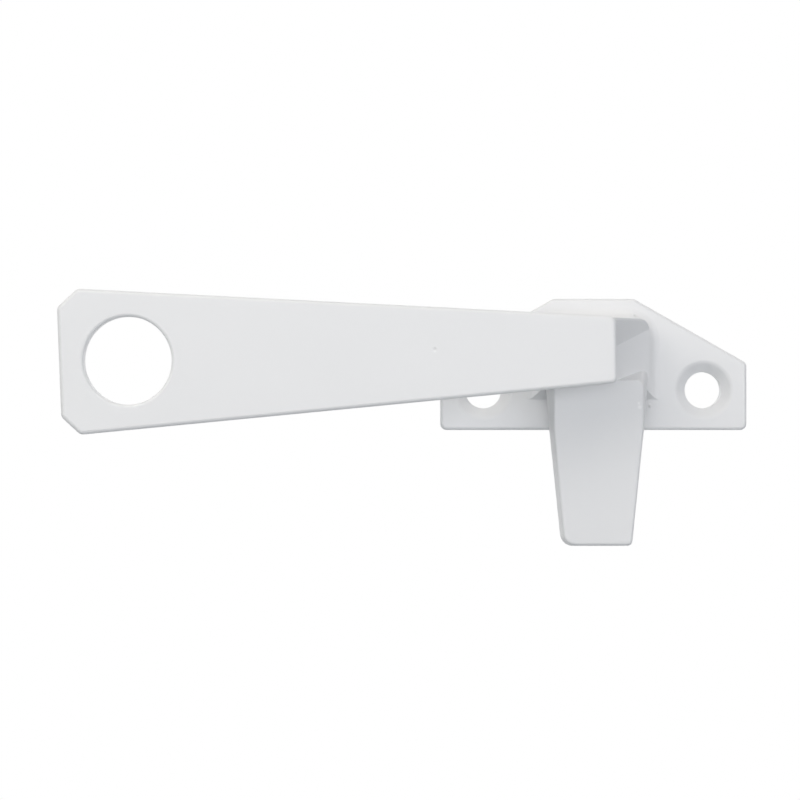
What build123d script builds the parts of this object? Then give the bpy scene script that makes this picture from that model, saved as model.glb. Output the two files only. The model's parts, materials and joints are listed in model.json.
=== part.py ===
"""Window cam handle lock: a tapered lever and its cam nose, cast as one, turning on a screwed-down base.

Millimetres. +Z is up, the mounting face lies in the plane Y = 0 and the lock stands off it towards -Y.
The origin is midway between the two screw holes, on the mounting face.
A depth is the distance in front of the mounting face. The handle and what turns with it are drawn about
the pivot axis, then lifted to the pivot.
"""

import os
from math import asin, degrees, tan, radians

from build123d import *

# Base casting
screw_spacing = 38.1
screw_hole_diameter = 6.3
countersink_diameter = 9.7
countersink_angle = 90.0
plate_width = 53.0
plate_below_screws = 6.9
shoulder_above_screws = 4.7
crown_above_screws = 15.8
crown_width = 14.0
plate_thickness = 4.8
plate_corner_radius = 1.1
plate_edge_radius = 0.6
pivot_above_screws = 6.4

# Pedestal that carries the hub: drafted sides that flare into the plate, and a plain drafted front below
pedestal_width = 21.6
pedestal_below_pivot = 8.0
pedestal_above_pivot = 7.2
pedestal_height = 2.0
pedestal_draft = 45.0
pedestal_corner_radius = 5.0
pedestal_flare_radius = 2.0

# Pivot
stem_diameter = 8.0
stem_flats = 5.0
key_diameter = 6.4
running_clearance = 0.05
key_clearance = 0.02
hub_clearance = 0.3
thrust_washer_width = 1.3
thrust_washer_thickness = 0.8
thrust_washer_play = 0.1

# Pieces in the recess behind the pivot
spring_thickness = 0.5
spring_rise = 0.35
spring_diameter = 13.4
stop_washer_thickness = 1.2
stop_washer_diameter = 12.6
stop_tab_width = 3.6
stop_tab_reach = 8.8
rear_recess_diameter = 15.0
rear_clearance = 0.3
stop_clearance = 0.05
screw_shank_diameter = 3.4
screw_length = 7.0
screw_head_diameter = 7.2
screw_head_height = 1.0
screw_head_chamfer = 0.4
screw_head_sink = 0.2
screw_slot_width = 0.9
screw_slot_length = 3.6
screw_slot_depth = 0.55
screw_tip_room = 0.8

# Turn of the handle
handle_travel = 90.0

# Lever
lever_droop = 1.3
lever_rise = 0.3
lever_reach = 90.7
lever_overhang = 2.8
lever_end_width = 25.0
lever_root_width = 11.2
lever_thickness = 4.5
lever_standoff = 14.7
lever_corner_cut = 3.3
lever_end_slant = 0.15
lever_corner_radius = 1.4
lever_root_radius = 1.1
lever_front_radius = 0.7
lever_back_radius = 0.5
pole_hole_diameter = 14.8
pole_hole_wall = 4.1
pole_hole_chamfer = 0.35

# Hub and neck
hub_width = 18.9
hub_below_pivot = 6.5
hub_foot_height = 4.0
hub_foot_thickness = 2.5
hub_corner_radius = 2.1
hub_edge_thickness = 0.8
neck_above_pivot = 5.8
neck_below_pivot = 5.0
neck_sweep_radius = 7.0
neck_sink = 1.5
neck_edge_radius = 0.6

# Scoop in the neck's free flank, under its top rib
scoop_start = 7.0
rib_thickness = 0.4
rib_height = 1.6
scoop_drop = 4.6

# Cam nose: a straight taper at the rear, and a narrower front that keeps its width down to a bend
nose_shift = 0.4
nose_rear_width = 18.1
nose_rear_bend_width = 16.4
nose_rear_tip_width = 12.2
nose_width = 15.3
nose_tip_width = 11.4
nose_rear_top_below_pivot = 2.2
nose_top_below_pivot = 4.75
nose_bend_below_pivot = 13.0
nose_reach = 33.25
nose_tip_rise = 0.4
nose_thickness = 6.0
nose_tip_thickness = 4.3
nose_top_radius = 1.3
nose_trailing_radius = 2.2
nose_leading_radius = 0.9
nose_edge_radius = 0.5
cam_ramp_width = 6.0
cam_ramp_depth = 1.6
cam_ramp_below_pivot = 15.0

front_plane = Plane.XZ
top_plane = Plane((0, 0, 0), x_dir=(1, 0, 0), z_dir=(0, 0, -1))
side_plane = Plane((0, 0, 0), x_dir=(0, 0, 1), z_dir=(1, 0, 0))
pivot_axis = Axis((0, 0, 0), (0, 1, 0))
pedestal_low = pivot_above_screws - pedestal_below_pivot
pedestal_top = pivot_above_screws + pedestal_above_pivot
pole_hole_reach = lever_reach - pole_hole_diameter / 2 - pole_hole_wall

# Depths, from the mounting face towards the user
pedestal_face = plate_thickness + pedestal_height
hub_back = pedestal_face + hub_clearance
washer_seat = hub_back - thrust_washer_thickness
nose_front = hub_back + nose_thickness
lever_back = plate_thickness + lever_standoff
lever_front = lever_back + lever_thickness
screw_head_back = screw_head_sink
stop_washer_back = screw_head_back + screw_head_height
stem_shoulder = stop_washer_back + stop_washer_thickness
recess_floor = stem_shoulder + spring_thickness + spring_rise
stem_radius = stem_diameter / 2
bore_radius = stem_radius + running_clearance
washer_inner_radius = bore_radius + thrust_washer_play
washer_outer_radius = washer_inner_radius + thrust_washer_width
rear_recess_radius = rear_recess_diameter / 2


def slab(outline, near, far):
    return extrude(front_plane.offset(near) * outline, far - near)


def disc(radius, near, far):
    return slab(Circle(radius), near, far)


def ring(outer, inner, near, far):
    return slab(Circle(outer) - Circle(inner), near, far)


def on_pivot(shape):
    return Pos(0, 0, pivot_above_screws) * shape


def plate_outline():
    half = plate_width / 2
    crown = crown_width / 2
    return Polygon(
        (-half, -plate_below_screws),
        (half, -plate_below_screws),
        (half, shoulder_above_screws),
        (crown, crown_above_screws),
        (-crown, crown_above_screws),
        (-half, shoulder_above_screws),
        align=None,
    )


def pedestal():
    half = pedestal_width / 2
    foot = Polygon(
        (-half, pedestal_low),
        (half, pedestal_low),
        (half, pedestal_top),
        (-half, pedestal_top),
        align=None,
    )
    foot = fillet(foot.vertices().sort_by(Axis.Y)[-2:], pedestal_corner_radius)
    return extrude(front_plane.offset(plate_thickness) * foot, pedestal_height, taper=pedestal_draft)


def flared(body):
    half = pedestal_width / 2
    seam = body.edges().filter_by_position(Axis.Y, -plate_thickness, -plate_thickness)
    seam = seam.filter_by_position(Axis.X, -half, half)
    seam = seam.filter_by_position(Axis.Z, pedestal_low, pedestal_top)
    return fillet(seam.sort_by(Axis.Z)[1:], pedestal_flare_radius)


def screw_cut():
    hole = disc(screw_hole_diameter / 2, 0, plate_thickness)
    drop = (countersink_diameter - screw_hole_diameter) / 2 / tan(radians(countersink_angle / 2))
    floor = front_plane.offset(plate_thickness - drop) * Circle(screw_hole_diameter / 2)
    mouth = front_plane.offset(plate_thickness) * Circle(countersink_diameter / 2)
    return hole + loft([floor, mouth])


def stop_sector():
    tab_angle = degrees(asin((stop_tab_width / 2 + stop_clearance) / rear_recess_radius))
    half_angle = handle_travel / 2 + tab_angle
    radius = stop_tab_reach + rear_clearance
    arc = CenterArc((0, 0), radius, -90 - half_angle, 2 * half_angle)
    outline = make_face([arc, Line(arc @ 1, (0, 0)), Line((0, 0), arc @ 0)])
    return slab(outline, 0, recess_floor)


def base_plate():
    outline = fillet(plate_outline().vertices(), plate_corner_radius)
    plate = slab(outline, 0, plate_thickness)
    front_face = plate.faces().sort_by(Axis.Y)[0]
    plate = fillet(front_face.edges(), plate_edge_radius)
    body = flared(plate + pedestal())
    for side in (-1, 1):
        body -= Pos(side * screw_spacing / 2, 0, 0) * screw_cut()
    body -= on_pivot(disc(bore_radius, 0, pedestal_face))
    body -= on_pivot(disc(washer_outer_radius + thrust_washer_play, washer_seat, pedestal_face))
    body -= on_pivot(disc(rear_recess_radius, 0, recess_floor))
    body -= on_pivot(stop_sector())
    return body


def lever():
    root = lever_root_width / 2
    end = lever_end_width / 2
    run = lever_reach + lever_overhang
    shoulder = end - (end - root) * lever_corner_cut / run
    cut_x = lever_corner_cut - lever_reach
    outline = Polygon(
        (lever_overhang, -root),
        (lever_overhang, root),
        (cut_x, shoulder),
        (-lever_reach - lever_end_slant, end - lever_corner_cut),
        (-lever_reach + lever_end_slant, lever_corner_cut - end),
        (cut_x, -shoulder),
        align=None,
    )
    corners = outline.vertices().sort_by(Axis.X)
    outline = fillet(corners[:4], lever_corner_radius)
    outline = fillet(outline.vertices().sort_by(Axis.X)[-2:], lever_root_radius)
    bar = slab(outline, lever_back, lever_front)
    bar = fillet(bar.faces().sort_by(Axis.Y)[0].edges(), lever_front_radius)
    bar = fillet(bar.faces().sort_by(Axis.Y)[-1].edges(), lever_back_radius)
    bar -= Pos(-pole_hole_reach, 0, 0) * disc(pole_hole_diameter / 2, lever_back, lever_front)
    rims = bar.edges().filter_by(GeomType.CIRCLE).group_by(SortBy.RADIUS)[-1]
    return Rot(0, -lever_droop, 0) * Pos(0, 0, lever_rise) * chamfer(rims, pole_hole_chamfer)


def scoop():
    flank = hub_width / 2
    start = lever_overhang - scoop_start
    edge = hub_back + hub_edge_thickness
    slope = (lever_back - edge) / (flank - start)
    reach = lever_back + lever_thickness
    outline = Polygon(
        (start, lever_back),
        (flank + hub_width, edge - slope * hub_width),
        (flank + hub_width, reach),
        (start, reach),
        align=None,
    )
    block = extrude(top_plane * outline, hub_width, both=True)
    ceiling = neck_above_pivot - rib_thickness
    below = lever_back - slope * scoop_start
    rib_front = Vector(lever_overhang, -lever_back, ceiling)
    rib_rear = Vector(flank, -(edge + rib_height), ceiling)
    valley = Vector(lever_overhang, -below, ceiling - scoop_drop)
    normal = (rib_rear - rib_front).cross(valley - rib_front)
    roof = Plane(rib_front, x_dir=rib_rear - rib_front, z_dir=normal)
    keep = Keep.TOP if normal.Z < 0 else Keep.BOTTOM
    return split(block, roof, keep=keep)


def neck():
    flank = hub_width / 2
    sink = lever_back + neck_sink
    left = -flank - neck_sweep_radius
    rib_rear = hub_back + hub_edge_thickness + rib_height
    sweep = RadiusArc((left, lever_back), (-flank, lever_back - neck_sweep_radius), neck_sweep_radius)
    rest = Polyline(
        sweep @ 1,
        (-flank, hub_back),
        (flank, hub_back),
        (flank, rib_rear),
        (lever_overhang, lever_back),
        (lever_overhang, sink),
        (left, sink),
        sweep @ 0,
    )
    seen_from_above = extrude(top_plane * make_face([sweep, rest]), hub_width, both=True)
    outline = Polygon(
        (left, -neck_below_pivot),
        (flank, -neck_below_pivot),
        (flank, neck_above_pivot),
        (left, neck_above_pivot),
        align=None,
    )
    free_corner = outline.vertices().sort_by_distance((flank, neck_above_pivot, 0))[:1]
    outline = fillet(free_corner, hub_corner_radius)
    body = seen_from_above & slab(outline, hub_back, sink)
    rows = body.edges().group_by(Axis.Z)
    finger_edges = rows[0].sort_by(Axis.X)[:3] + rows[-1].sort_by(Axis.X)[:3]
    return fillet(finger_edges, neck_edge_radius) + hub_foot() - scoop()


def hub_foot():
    outline = Pos(0, hub_foot_height / 2 - hub_below_pivot) * Rectangle(hub_width, hub_foot_height)
    outline = fillet(outline.vertices().sort_by(Axis.Y)[:2], hub_corner_radius)
    return slab(outline, hub_back, hub_back + hub_foot_thickness)


def nose_outline(root, bend, tip, top, end):
    outline = Polygon(
        (-root / 2, top),
        (-bend / 2, -nose_bend_below_pivot),
        (-tip / 2, end),
        (tip / 2, end),
        (bend / 2, -nose_bend_below_pivot),
        (root / 2, top),
        align=None,
    )
    for x, z, radius in (
        (-tip / 2, end, nose_trailing_radius),
        (tip / 2, end, nose_leading_radius),
        (root / 2, top, nose_top_radius),
    ):
        outline = fillet(outline.vertices().sort_by_distance((x, z, 0))[:1], radius)
    return Pos(nose_shift, 0) * outline


def nose():
    rear_top = -nose_rear_top_below_pivot
    top = -nose_top_below_pivot
    rear = nose_outline(nose_rear_width, nose_rear_bend_width, nose_rear_tip_width, rear_top, -nose_reach)
    front = nose_outline(nose_width, nose_width, nose_tip_width, top, nose_tip_rise - nose_reach)
    body = loft([front_plane.offset(hub_back) * rear, front_plane.offset(nose_front) * front], ruled=True)
    section = Polygon(
        (rear_top, hub_back),
        (rear_top, nose_front),
        (top, nose_front),
        (-nose_reach, hub_back + nose_tip_thickness),
        (-nose_reach, hub_back),
        align=None,
    )
    body &= extrude(side_plane * section, hub_width, both=True)
    front_edges = body.faces().sort_by(Axis.Y)[0].edges()
    return fillet(front_edges, nose_edge_radius) - cam_ramp()


def cam_ramp():
    leading = nose_shift + nose_rear_width / 2
    ramp = Polygon(
        (leading - cam_ramp_width, hub_back),
        (leading, hub_back),
        (leading, hub_back + cam_ramp_depth),
        align=None,
    )
    length = nose_reach - cam_ramp_below_pivot
    return Pos(0, 0, -cam_ramp_below_pivot) * extrude(top_plane * ramp, length)


def keyed_outline(clearance):
    across = key_diameter / 2 + clearance
    return Circle(across) & Rectangle(2 * across, stem_flats + 2 * clearance)


def stem():
    shank = disc(stem_radius, stem_shoulder, hub_back)
    key = slab(keyed_outline(0), stop_washer_back, stem_shoulder)
    return shank + key


def handle():
    body = lever() + neck() + nose() + stem()
    tapped_depth = stop_washer_back + screw_length + screw_tip_room
    tapping = disc(screw_shank_diameter / 2, stop_washer_back, tapped_depth)
    return on_pivot(body - tapping)


def thrust_washer():
    return on_pivot(ring(washer_outer_radius, washer_inner_radius, washer_seat, hub_back))


def spring_washer():
    inner = stem_radius + thrust_washer_play
    outer = spring_diameter / 2
    section = Polygon(
        (inner, stem_shoulder),
        (outer, stem_shoulder + spring_rise),
        (outer, recess_floor),
        (inner, stem_shoulder + spring_thickness),
        align=None,
    )
    return on_pivot(revolve(top_plane * section, pivot_axis))


def stop_washer():
    radius = stop_washer_diameter / 2
    tab = Pos(0, -stop_tab_reach / 2) * Rectangle(stop_tab_width, stop_tab_reach)
    turned_tab = Rot(0, 0, handle_travel / 2) * (tab & Circle(stop_tab_reach))
    outline = Circle(radius) + turned_tab - keyed_outline(key_clearance)
    return on_pivot(slab(outline, stop_washer_back, stem_shoulder))


def retaining_screw():
    head = disc(screw_head_diameter / 2, screw_head_back, stop_washer_back)
    head = chamfer(head.edges().sort_by(Axis.Y)[-1:], screw_head_chamfer)
    slot = Rectangle(screw_slot_length, screw_slot_width)
    cross = slot + Rot(0, 0, 90) * slot
    head -= slab(cross, screw_head_back, screw_head_back + screw_slot_depth)
    shank = disc(screw_shank_diameter / 2, stop_washer_back, stop_washer_back + screw_length)
    return on_pivot(head + shank)


os.makedirs("parts", exist_ok=True)
pieces = {
    "base_plate": base_plate(),
    "handle": handle(),
    "thrust_washer": thrust_washer(),
    "spring_washer": spring_washer(),
    "stop_washer": stop_washer(),
    "retaining_screw": retaining_screw(),
}
for name, shape in pieces.items():
    export_step(shape, f"parts/{name}.step")
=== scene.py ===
import json
from math import radians

import bmesh
import bpy
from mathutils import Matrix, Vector


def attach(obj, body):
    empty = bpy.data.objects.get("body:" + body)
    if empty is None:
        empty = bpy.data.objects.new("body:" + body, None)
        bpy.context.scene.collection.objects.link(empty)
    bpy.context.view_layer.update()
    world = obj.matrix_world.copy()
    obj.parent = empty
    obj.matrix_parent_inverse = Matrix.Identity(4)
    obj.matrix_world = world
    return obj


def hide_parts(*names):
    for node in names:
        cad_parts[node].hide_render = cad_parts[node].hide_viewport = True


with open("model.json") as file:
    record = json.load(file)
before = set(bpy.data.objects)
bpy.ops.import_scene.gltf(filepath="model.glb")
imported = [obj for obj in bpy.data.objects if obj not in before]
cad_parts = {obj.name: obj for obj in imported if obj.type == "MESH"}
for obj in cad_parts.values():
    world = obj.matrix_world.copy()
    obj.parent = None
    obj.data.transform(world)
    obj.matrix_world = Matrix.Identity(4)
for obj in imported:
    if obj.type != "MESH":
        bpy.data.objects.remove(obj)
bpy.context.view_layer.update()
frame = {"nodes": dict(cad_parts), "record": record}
scene = bpy.context.scene
scene.view_settings.view_transform = "Standard"
mm = 0.001
print("frame loaded:", ", ".join(sorted(frame["nodes"])))


# a shader socket that can be added and multiplied
class Wire:
    def __init__(self, tree, socket=None):
        self.tree = tree
        self.socket = socket

    def node(self, kind, settings=None, sockets=None, out=0):
        made = self.tree.nodes.new(kind)
        for name, value in (settings or {}).items():
            setattr(made, name, value)
        for name, value in (sockets or {}).items():
            if isinstance(value, Wire):
                self.tree.links.new(value.socket, made.inputs[name])
            else:
                made.inputs[name].default_value = value
        return Wire(self.tree, made.outputs[out]) if made.outputs else None

    def maths(self, operation, first, second):
        return self.node("ShaderNodeMath", {"operation": operation}, {0: first, 1: second})

    def __add__(self, other):
        return self.maths("ADD", self, other)

    def __radd__(self, other):
        return self.maths("ADD", other, self)

    def __mul__(self, other):
        return self.maths("MULTIPLY", self, other)

    def __rmul__(self, other):
        return self.maths("MULTIPLY", other, self)


def startMaterial(name):
    material = bpy.data.materials.new(name)
    material.use_nodes = True
    material.node_tree.nodes.clear()
    return material, Wire(material.node_tree)


def endMaterial(wire, shader):
    wire.node("ShaderNodeOutputMaterial", None, {"Surface": shader})


def noise(wire, place, scale, detail):
    return wire.node("ShaderNodeTexNoise", None, {"Vector": place, "Scale": scale, "Detail": detail})


mixSockets = {"first": 6, "second": 7, "result": 2}  # a Mix node's own numbers for its colours


def mixColour(wire, factor, first, second):
    return wire.node(
        "ShaderNodeMix",
        {"data_type": "RGBA"},
        {"Factor": factor, mixSockets["first"]: first, mixSockets["second"]: second},
        out=mixSockets["result"],
    )


def bump(wire, height, distance):
    return wire.node("ShaderNodeBump", None, {"Height": height, "Distance": distance})


coat = {
    "white": (0.83, 0.83, 0.835, 1.0),
    "cooler": (0.815, 0.818, 0.825, 1.0),
    "cloudScale": 45.0,  # per metre
    "cloudDetail": 2.0,
    "peelScale": 900.0,
    "peelDetail": 1.0,
    "peelHeight": 0.004 * mm,
    "grainScale": 5200.0,
    "grainDetail": 2.0,
    "grainShare": 0.18,
    "roughness": 0.38,
    "roughnessSwing": 0.06,
    "blemishes": (  # place, radius and height in mm: pits are below zero, nibs above
        ((-27.64, -24.0, 6.79), 0.42, -0.10),
        ((7.17, -5.3, 13.01), 0.40, -0.18),
        ((9.77, -4.8, -2.80), 0.36, 0.16),
    ),
    # the colour of the painted highlights, lighter than the coat
    "paintedHighlight": (0.97, 0.97, 0.97, 1.0),
    "paintedHighlightShare": 0.8,
    "paintedHighlights": (  # painted highlights: two on the lit side of a pit and a nib listed above, and two lighter spots at the nose's right edge; place and radius in mm
        ((7.44, -12.9, -2.90), 0.55),
        ((7.30, -12.9, -2.25), 0.40),
        ((9.77, -4.8, -2.42), 0.34),
        ((-27.64, -24.0, 6.49), 0.34),
    ),
}


# the height at a centre, falling to nothing at its radius
def nearby(wire, place, centre, radius, height):
    away = wire.node(
        "ShaderNodeVectorMath", {"operation": "DISTANCE"}, {0: place, 1: Vector(centre) * mm}, out="Value"
    )
    return wire.node(
        "ShaderNodeMapRange",
        {"interpolation_type": "SMOOTHSTEP"},
        {"Value": away, "From Min": 0.0, "From Max": radius * mm, "To Min": height, "To Max": 0.0},
    )


def whiteCoat():
    material, wire = startMaterial("white_coat")
    place = wire.node("ShaderNodeTexCoord", out="Object")
    cloud = noise(wire, place, coat["cloudScale"], coat["cloudDetail"])
    peel = noise(wire, place, coat["peelScale"], coat["peelDetail"])
    grain = noise(wire, place, coat["grainScale"], coat["grainDetail"])
    colour = mixColour(wire, cloud, coat["white"], coat["cooler"])
    # painted highlights: the coat is lightened around each of these spots
    for centre, radius in coat["paintedHighlights"]:
        highlightMask = nearby(wire, place, centre, radius, coat["paintedHighlightShare"])
        colour = mixColour(wire, highlightMask, colour, coat["paintedHighlight"])
    skin = peel + coat["grainShare"] * grain
    for centre, radius, height in coat["blemishes"]:
        skin = skin + nearby(wire, place, centre, radius, height * mm / coat["peelHeight"])
    shader = wire.node(
        "ShaderNodeBsdfPrincipled",
        None,
        {
            "Base Color": colour,
            "Roughness": coat["roughness"] + coat["roughnessSwing"] * cloud,
            "Normal": bump(wire, skin, coat["peelHeight"]),
        },
    )
    endMaterial(wire, shader)
    return material


plating = {
    "bright": (0.60, 0.61, 0.62, 1.0),
    "dull": (0.42, 0.43, 0.45, 1.0),
    "spangleScale": 700.0,
    "spangleDetail": 3.0,
    "scratchScale": 9000.0,
    "scratchDetail": 2.0,
    "scratchHeight": 0.002 * mm,
    "roughness": 0.26,
    "roughnessSwing": 0.16,
}


def platedSteel():
    material, wire = startMaterial("plated_steel")
    place = wire.node("ShaderNodeTexCoord", out="Object")
    spangle = noise(wire, place, plating["spangleScale"], plating["spangleDetail"])
    scratch = noise(wire, place, plating["scratchScale"], plating["scratchDetail"])
    shader = wire.node(
        "ShaderNodeBsdfPrincipled",
        None,
        {
            "Base Color": mixColour(wire, spangle, plating["bright"], plating["dull"]),
            "Metallic": 1.0,
            "Roughness": plating["roughness"] + plating["roughnessSwing"] * spangle,
            "Normal": bump(wire, scratch, plating["scratchHeight"]),
        },
    )
    endMaterial(wire, shader)
    return material


plastic = {
    "milky": (0.85, 0.84, 0.80, 1.0),
    "shaded": (0.80, 0.79, 0.74, 1.0),
    "flowScale": 260.0,
    "flowDetail": 2.0,
    "flowHeight": 0.003 * mm,
    "roughness": 0.42,
    "roughnessSwing": 0.08,
}


def acetal():
    material, wire = startMaterial("acetal")
    place = wire.node("ShaderNodeTexCoord", out="Object")
    flow = noise(wire, place, plastic["flowScale"], plastic["flowDetail"])
    shader = wire.node(
        "ShaderNodeBsdfPrincipled",
        None,
        {
            "Base Color": mixColour(wire, flow, plastic["milky"], plastic["shaded"]),
            "Roughness": plastic["roughness"] + plastic["roughnessSwing"] * flow,
            "Normal": bump(wire, flow, plastic["flowHeight"]),
        },
    )
    endMaterial(wire, shader)
    return material


casting = {
    "weld": 0.002 * mm,
    "crispAngle": 28.0,  # degrees, bends sharper than this keep their edge
}

screwMouths = {
    "reach": (1.3, 1.8),  # in radii of the screw hole, where the countersink meets the plate
    "softening": 0.45 * mm,  # the coat's rounding over that edge
    "segments": 4,
}

poleRim = {
    "reach": (0.98, 1.08),  # in radii of the pole hole, both edges of its chamfer
    "softening": 0.23 * mm,
    "segments": 3,
}


def mountNamed(name):
    return next(entry for entry in frame["record"]["mounts"] if entry["name"] == name)


# rounds the sharp edges around holes that run along Y
def softenRims(shape, centres, radius, rim):
    near, far = (share * radius for share in rim["reach"])

    def onRim(vertex):
        return any(near < (vertex.co.xz - centre).length < far for centre in centres)

    rims = [
        edge
        for edge in shape.edges
        if all(onRim(vertex) for vertex in edge.verts)
        and edge.calc_face_angle() > radians(casting["crispAngle"])
    ]
    bmesh.ops.bevel(
        shape,
        geom=rims,
        offset=rim["softening"],
        offset_type="OFFSET",
        segments=rim["segments"],
        profile=0.5,
        affect="EDGES",
        material=-1,
    )


def softenScrewMouths(shape):
    mount = mountNamed("screw_holes")
    across = mount["dims"]["spacing_x_mm"] * mm / 2
    centres = [Vector((-across, 0.0)), Vector((across, 0.0))]
    softenRims(shape, centres, mount["dims"]["hole_r_mm"] * mm, screwMouths)


def softenPoleRim(shape):
    mount = mountNamed("pole_hole")
    softenRims(shape, [Vector(mount["pos_m"]).xz], mount["dims"]["r_mm"] * mm, poleRim)


# the solid with its triangles joined, so that its rounds shade smoothly
def weldedCopy(node, name, body, material, finishing=None):
    shape = bmesh.new()
    shape.from_mesh(frame["nodes"][node].data)
    bmesh.ops.remove_doubles(shape, verts=shape.verts, dist=casting["weld"])
    if finishing:
        finishing(shape)
    for face in shape.faces:
        face.smooth = True
        face.material_index = 0
    for edge in shape.edges:
        edge.smooth = edge.is_manifold and edge.calc_face_angle() < radians(casting["crispAngle"])
    mesh = bpy.data.meshes.new(name)
    shape.to_mesh(mesh)
    shape.free()
    if "custom_normal" in mesh.attributes:
        mesh.attributes.remove(mesh.attributes["custom_normal"])
    mesh.materials.append(material)
    piece = bpy.data.objects.new(name, mesh)
    scene.collection.objects.link(piece)
    flats = piece.modifiers.new("flats", "WEIGHTED_NORMAL")  # keeps the flats flat beside the rounds
    flats.keep_sharp = True
    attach(piece, body)
    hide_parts(node)


coatFinish = whiteCoat()
steelFinish = platedSteel()
acetalFinish = acetal()
print("finishes made")

weldedCopy("base_plate", "coated_base", "base", coatFinish, softenScrewMouths)
weldedCopy("handle", "coated_handle", "handle", coatFinish, softenPoleRim)
weldedCopy("thrust_washer", "acetal_washer", "base", acetalFinish)
weldedCopy("spring_washer", "cone_spring", "base", steelFinish)
weldedCopy("stop_washer", "tabbed_washer", "handle", steelFinish)
weldedCopy("retaining_screw", "pivot_screw", "handle", steelFinish)
print("pieces made")


studio = {
    "cameraPlace": (-33.5, -604.8, -1.7),  # mm
    "cameraTilt": 90.0,  # degrees, level along +Y
    "lens": 156.0,
    "sensor": 36.0,
    "floorBelow": 100.0,  # mm under the screw line
    "floorRadius": 900.0,
    "floorSegments": 96,
    "shadowNear": 120.0,  # mm from the floor's middle, where its shade starts to fade to white
    "shadowFar": 240.0,
    "floorColour": (0.9, 0.9, 0.9, 1.0),
    "floorBounce": (0.385, 0.405, 0.42, 1.0),  # what the floor sends back up to the lock
    "backdrop": (1.0, 1.0, 1.0, 1.0),
    "skyColour": (0.93, 1.0, 1.07, 1.0),
    "skyStrength": 0.19,
    "lampReach": 700.0,  # mm from the lamps to what they aim at
    "lampAim": (-30.0, -10.0, 0.0),
    "lampSize": 500.0,
    "lamps": {  # direction from the lock, power in watts, colour
        "highLeftSoftbox": ((-1.0, -1.0, 1.0), 2.13, (1.0, 0.96, 0.90)),
        "rightSoftbox": ((1.0, -1.0, -0.1), 1.83, (0.98, 0.97, 1.0)),
        "topSoftbox": ((0.0, -0.5, 1.0), 0.90, (1.0, 0.965, 0.89)),
        "frontSoftbox": ((0.0, -1.0, -0.1), 2.06, (0.955, 0.97, 1.0)),
        "backSoftbox": ((0.0, 1.0, 0.25), 2.50, (1.0, 1.0, 1.0)),
        "backLeftFill": ((-1.0, 1.0, 0.6), 0.60, (1.0, 1.0, 1.0)),
        "backRightFill": ((1.0, 1.0, 0.6), 0.60, (1.0, 1.0, 1.0)),
    },
}


def makeCamera():
    view = bpy.data.cameras.new("frontView")
    view.lens = studio["lens"]
    view.sensor_width = studio["sensor"]
    camera = bpy.data.objects.new("frontView", view)
    camera.location = Vector(studio["cameraPlace"]) * mm
    camera.rotation_euler = (radians(studio["cameraTilt"]), 0, 0)
    scene.collection.objects.link(camera)
    scene.camera = camera


def makeLamp(name, direction, power, colour):
    light = bpy.data.lights.new(name, "AREA")
    light.shape = "SQUARE"
    light.size = studio["lampSize"] * mm
    light.energy = power
    light.color = colour
    lamp = bpy.data.objects.new(name, light)
    outward = Vector(direction).normalized()
    lamp.location = (Vector(studio["lampAim"]) + outward * studio["lampReach"]) * mm
    lamp.rotation_euler = (-outward).to_track_quat("-Z", "Y").to_euler()
    lamp.visible_camera = False
    lamp.visible_glossy = outward.y < 0.0  # the lamps behind don't glare in the steel
    scene.collection.objects.link(lamp)


# 1 for what the camera, a mirror or glass sees
def seenDirectly(wire):
    seen = wire.node("ShaderNodeLightPath", out="Is Camera Ray")
    for ray in ("Is Glossy Ray", "Is Transmission Ray"):
        seen = wire.maths("MAXIMUM", seen, wire.node("ShaderNodeLightPath", out=ray))
    return seen


def makeSky():
    world = bpy.data.worlds.new("whiteRoom")
    world.use_nodes = True
    world.node_tree.nodes.clear()
    wire = Wire(world.node_tree)
    seen = seenDirectly(wire)
    colour = mixColour(wire, seen, studio["skyColour"], studio["backdrop"])
    strength = studio["skyStrength"] + (1.0 - studio["skyStrength"]) * seen
    sky = wire.node("ShaderNodeBackground", None, {"Color": colour, "Strength": strength})
    wire.node("ShaderNodeOutputWorld", None, {"Surface": sky})
    scene.world = world


def makeFloor():
    shape = bmesh.new()
    bmesh.ops.create_circle(
        shape, cap_ends=True, segments=studio["floorSegments"], radius=studio["floorRadius"] * mm
    )
    mesh = bpy.data.meshes.new("floor")
    shape.to_mesh(mesh)
    shape.free()
    material, wire = startMaterial("pale_floor")
    place = wire.node("ShaderNodeTexCoord", out="Object")
    away = wire.node("ShaderNodeVectorMath", {"operation": "LENGTH"}, {0: place}, out="Value")
    seen = seenDirectly(wire)
    colour = mixColour(wire, seen, studio["floorBounce"], studio["floorColour"])
    plain = wire.node("ShaderNodeBsdfDiffuse", None, {"Color": colour})
    white = wire.node("ShaderNodeEmission", None, {"Color": studio["backdrop"], "Strength": 1.0})
    far = wire.node(
        "ShaderNodeMapRange",
        {"interpolation_type": "SMOOTHSTEP"},
        {"Value": away, "From Min": studio["shadowNear"] * mm, "From Max": studio["shadowFar"] * mm},
    )
    topSide = wire.node("ShaderNodeMixShader", None, {0: far * seen, 1: plain, 2: white})
    clear = wire.node("ShaderNodeBsdfTransparent")
    under = wire.node("ShaderNodeNewGeometry", out="Backfacing")  # views from below look through it
    endMaterial(wire, wire.node("ShaderNodeMixShader", None, {0: under, 1: topSide, 2: clear}))
    mesh.materials.append(material)
    floor = bpy.data.objects.new("floor", mesh)
    floor.location = (0.0, 0.0, -studio["floorBelow"] * mm)
    scene.collection.objects.link(floor)


makeCamera()
makeSky()
makeFloor()
for name, (direction, power, colour) in studio["lamps"].items():
    makeLamp(name, direction, power, colour)
print("studio ready")
